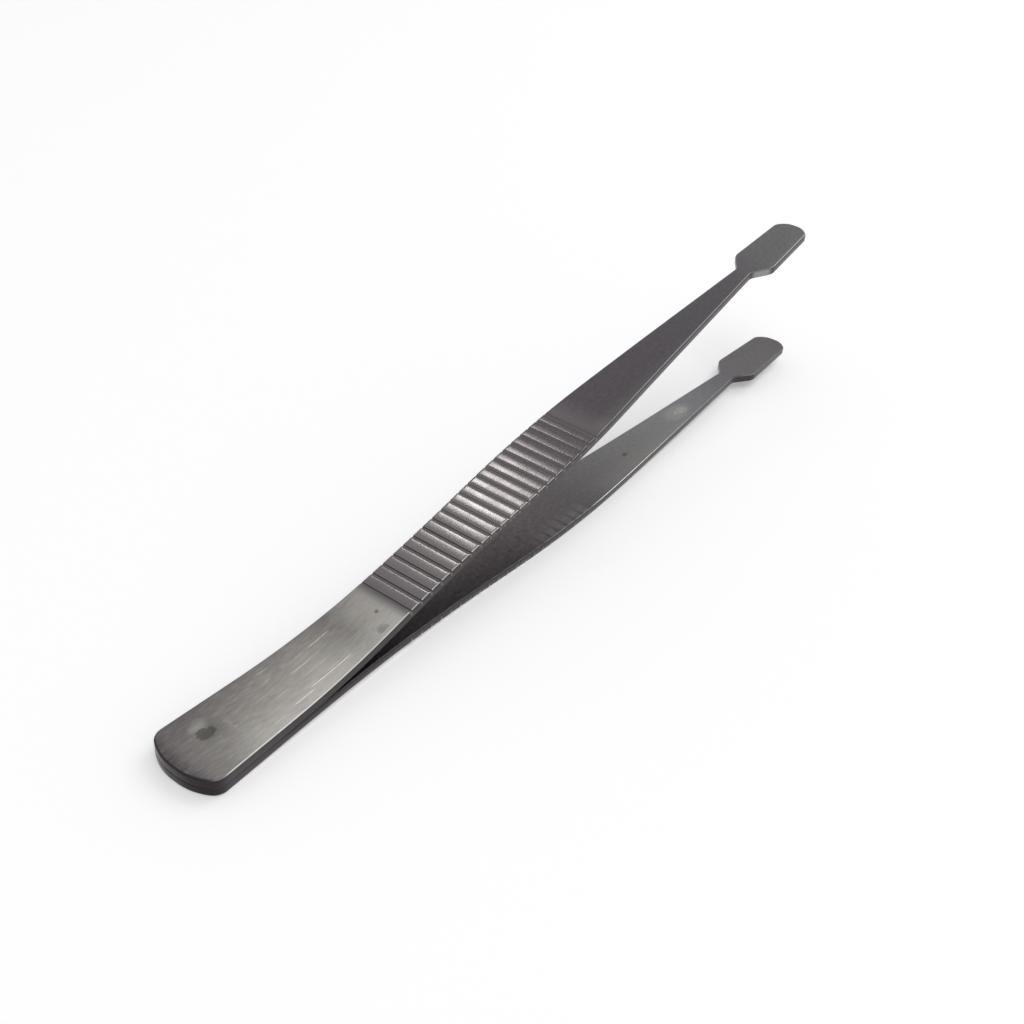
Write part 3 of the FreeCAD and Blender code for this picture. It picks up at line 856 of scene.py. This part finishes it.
steel_upper = steel("steel_upper", shift=(3.1, 7.7, 0.0), shoulder_shine=0.30)
steel_lower = steel("steel_lower", shift=(9.4, 1.3, 5.0), shoulder_shine=0.0)
print("materials", [m.name for m in (steel_upper, steel_lower)])


# %% [markdown]
# One tree makes both blades. The modifier's inputs are set by the identifier of each socket, the
# result is read back from the evaluated object, and the mesh is laid down with the rest of the pair.


# %% Bend both blades
def make_blade(name, spread_angle, bow_angle, side, material):
    """Runs the tree on a copy of the blank and returns a plain mesh object."""
    holder = bpy.data.objects.new(name, blank_mesh.copy())
    bpy.context.scene.collection.objects.link(holder)
    modifier = holder.modifiers.new("cut_and_bend", "NODES")
    modifier.node_group = bending
    wanted = {
        "Spread": math.radians(spread_angle),
        "Bow": math.radians(bow_angle),
        "Side": float(side),
        "Finish": material,
    }
    for item in bending.interface.items_tree:
        if item.in_out == "INPUT" and item.name in wanted:
            modifier[item.identifier] = wanted[item.name]
    bpy.context.view_layer.update()
    evaluated = holder.evaluated_get(bpy.context.evaluated_depsgraph_get())
    mesh = bpy.data.meshes.new_from_object(evaluated)
    mesh.name = name
    bpy.data.objects.remove(holder)
    if side < 0:
        mesh.flip_normals()
    mesh.transform(lay_down)
    blade = bpy.data.objects.new(name, mesh)
    bpy.context.scene.collection.objects.link(blade)
    return blade


upper = make_blade("upper_blade_steel", UPPER_SPREAD, UPPER_BOW, 1, steel_upper)
lower = make_blade("lower_blade_steel", LOWER_SPREAD, LOWER_BOW, -1, steel_lower)


def points_of(blade):
    """The places of a mesh's vertices, in metres."""
    spots = np.zeros(3 * len(blade.data.vertices))
    blade.data.vertices.foreach_get("co", spots)
    return spots.reshape(-1, 3)


both = np.concatenate([points_of(upper), points_of(lower)])
middle = (both[:, 0].min() + both[:, 0].max()) / 2
for blade in (upper, lower):
    blade.data.transform(Matrix.Translation((-middle, 0, -both[:, 2].min())))
    spots = points_of(blade) / MM
    print(blade.name, "from", spots.min(axis=0).round(3), "to", spots.max(axis=0).round(3))

# %% [markdown]
# Each made blade takes the place of its measured one, moves with the root body, and is steel.

# %% Put the blades in the frame
for blade, node in ((upper, "upper_blade"), (lower, "lower_blade")):
    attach(blade, "root")
    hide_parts(node)
    print(blade.name, "stands for", node)

# %% [markdown]
# The studio is a white floor, pale walls, a darker ceiling and three lamps. Steel has little colour of
# its own and shows what stands round it. A small bright lamp stands where the middle of the grip looks,
# so its gleam runs from one lip of a ridge to the other as the blade bows. A window at the side draws a
# bright line along the near rim. A broad lamp behind the camera lights the floor and shows in no face.

# %% Floor
FLOOR_HALF = 3.0
FLOOR_TOP_UP = 0.19
PAPER = (0.92, 0.92, 0.92, 1.0)
WHITE = (1.0, 1.0, 1.0, 1.0)
floor_mesh = bpy.data.meshes.new("floor")
floor_mesh.from_pydata(
    [(-FLOOR_HALF, -FLOOR_HALF, 0), (FLOOR_HALF, -FLOOR_HALF, 0),
     (FLOOR_HALF, FLOOR_HALF, 0), (-FLOOR_HALF, FLOOR_HALF, 0)],
    [], [(0, 1, 2, 3)],
)
floor = bpy.data.objects.new("floor", floor_mesh)
bpy.context.scene.collection.objects.link(floor)
paper = bpy.data.materials.new("paper")
paper.use_nodes = True
tree = paper.node_tree
tree.nodes.clear()
matte = add_node(tree, "ShaderNodeBsdfDiffuse", Color=PAPER)
glow = add_node(tree, "ShaderNodeEmission", Color=WHITE, Strength=FLOOR_TOP_UP)
topped_up = add_node(tree, "ShaderNodeAddShader", _0=matte.outputs[0], _1=glow.outputs[0])
rays = add_node(tree, "ShaderNodeLightPath")
seen = Value(tree, rays.outputs["Is Camera Ray"])
seen = seen.at_least(Value(tree, rays.outputs["Is Glossy Ray"]))
seen = seen.at_least(Value(tree, rays.outputs["Is Transmission Ray"]))
choice = add_node(
    tree, "ShaderNodeMixShader", _0=seen, _1=matte.outputs[0], _2=topped_up.outputs[0]
)
add_node(tree, "ShaderNodeOutputMaterial", Surface=choice.outputs[0])
floor_mesh.materials.append(paper)
print("floor", 2 * FLOOR_HALF, "m wide")

# %% [markdown]
# The room is the world: white up to some 15 degrees above the floor, then darkening to the ceiling,
# which starts at 30. A lamp's energy is its area times its radiance times pi, so the last number of
# each lamp is how bright it looks in a mirror.

# %% Walls, ceiling and lamps
CEILING = (0.50, 0.50, 0.515, 1.0)
world = bpy.data.worlds.new("studio")
bpy.context.scene.world = world
world.use_nodes = True
tree = world.node_tree
tree.nodes.clear()
direction = add_node(tree, "ShaderNodeTexCoord").outputs["Generated"]
rise = Value(tree, add_node(tree, "ShaderNodeSeparateXYZ", Vector=direction).outputs[2])
room = mix_colour(tree, rise.step(0.25, 0.50), WHITE, CEILING)
background = add_node(tree, "ShaderNodeBackground", Strength=1.0, Color=room)
add_node(tree, "ShaderNodeOutputWorld", Surface=background.outputs[0])


def soft_lamp(name, azimuth, elevation, distance, width, brightness):
    """A square lamp that faces the object from a direction in degrees, with a given radiance."""
    a, e = math.radians(azimuth), math.radians(elevation)
    away = Vector((math.cos(a) * math.cos(e), math.sin(a) * math.cos(e), math.sin(e)))
    lamp = bpy.data.lights.new(name, "AREA")
    lamp.size = width
    lamp.energy = math.pi * width * width * brightness
    holder = bpy.data.objects.new(name, lamp)
    holder.location = away * distance
    holder.rotation_euler = away.to_track_quat("Z", "Y").to_euler()
    bpy.context.scene.collection.objects.link(holder)
    print("lamp", name, round(lamp.energy, 2), "watts")


# azimuth and elevation in degrees, distance and width in metres, brightness
LAMPS = {
    "grip_lamp": (51.0, 52.5, 0.8, 0.06, 5.6),
    "side_window": (-10.0, 45.0, 1.0, 0.55, 1.8),
    "back_lamp": (-130.0, 60.0, 1.5, 0.8, 2.6),
}
for name, numbers in LAMPS.items():
    soft_lamp(name, *numbers)

# %% [markdown]
# The camera stands where the photographer's did. Its place, turn and lens were worked out from the
# outline of the object in the photograph, with the real sizes above.

# %% Camera
LENS_PIXELS = 1250.4
SENSOR = 36.0
FRAME_PIXELS = 1024
NEAREST = 0.005
CAMERA_PLACE = Vector((-105.44, -63.94, 85.46)) * MM
TO_THE_RIGHT = Vector((0.5993, -0.7954, 0.0909))
UPWARDS = Vector((0.4139, 0.4050, 0.8152))
camera_data = bpy.data.cameras.new("camera")
camera_data.sensor_width = SENSOR
camera_data.lens = LENS_PIXELS * SENSOR / FRAME_PIXELS
camera_data.clip_start = NEAREST
camera = bpy.data.objects.new("camera", camera_data)
right = TO_THE_RIGHT.normalized()
back = right.cross(UPWARDS).normalized()
turn = Matrix((right, back.cross(right), back)).transposed().to_4x4()
camera.matrix_world = Matrix.Translation(CAMERA_PLACE) @ turn
bpy.context.scene.collection.objects.link(camera)
bpy.context.scene.camera = camera
bpy.context.scene.view_settings.view_transform = "Standard"
print("camera at", [round(v, 4) for v in camera.location])
